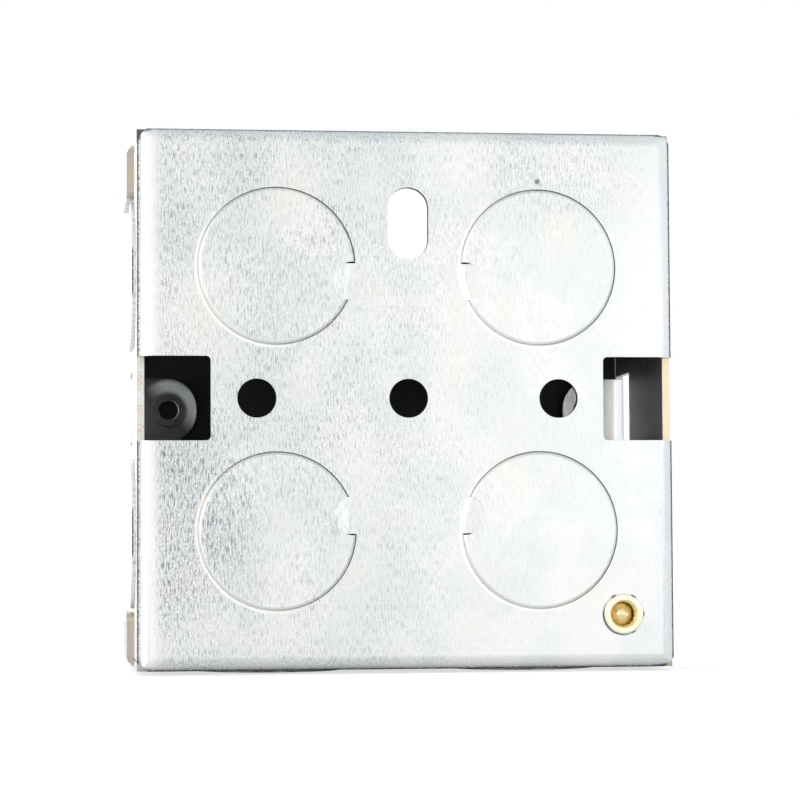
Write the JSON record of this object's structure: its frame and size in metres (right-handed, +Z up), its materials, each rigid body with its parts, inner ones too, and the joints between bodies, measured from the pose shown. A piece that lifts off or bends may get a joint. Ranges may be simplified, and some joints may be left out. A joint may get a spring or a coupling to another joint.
{
  "type": "flush back box",
  "caption": "Square folded steel flush back box with round knockouts, inward screw lugs and a brass earth terminal in a corner.",
  "frame": {"origin": "middle fixing hole, on the outer face of the back plate", "axes": "+Z up as the box sits in a wall, -Y out of the open front, +X to the right seen from the front"},
  "size_m": [0.0728, 0.0355, 0.0718],
  "materials": {
    "galvanised_steel": "pale zinc coat with a fine upright grain",
    "brass": "turned brass",
    "brass_screw": "turned brass"
  },
  "bodies": {
    "root": {"box_shell": "galvanised_steel", "earth_terminal_bush": "brass", "earth_terminal_screw": "brass_screw"}
  },
  "joints": []
}
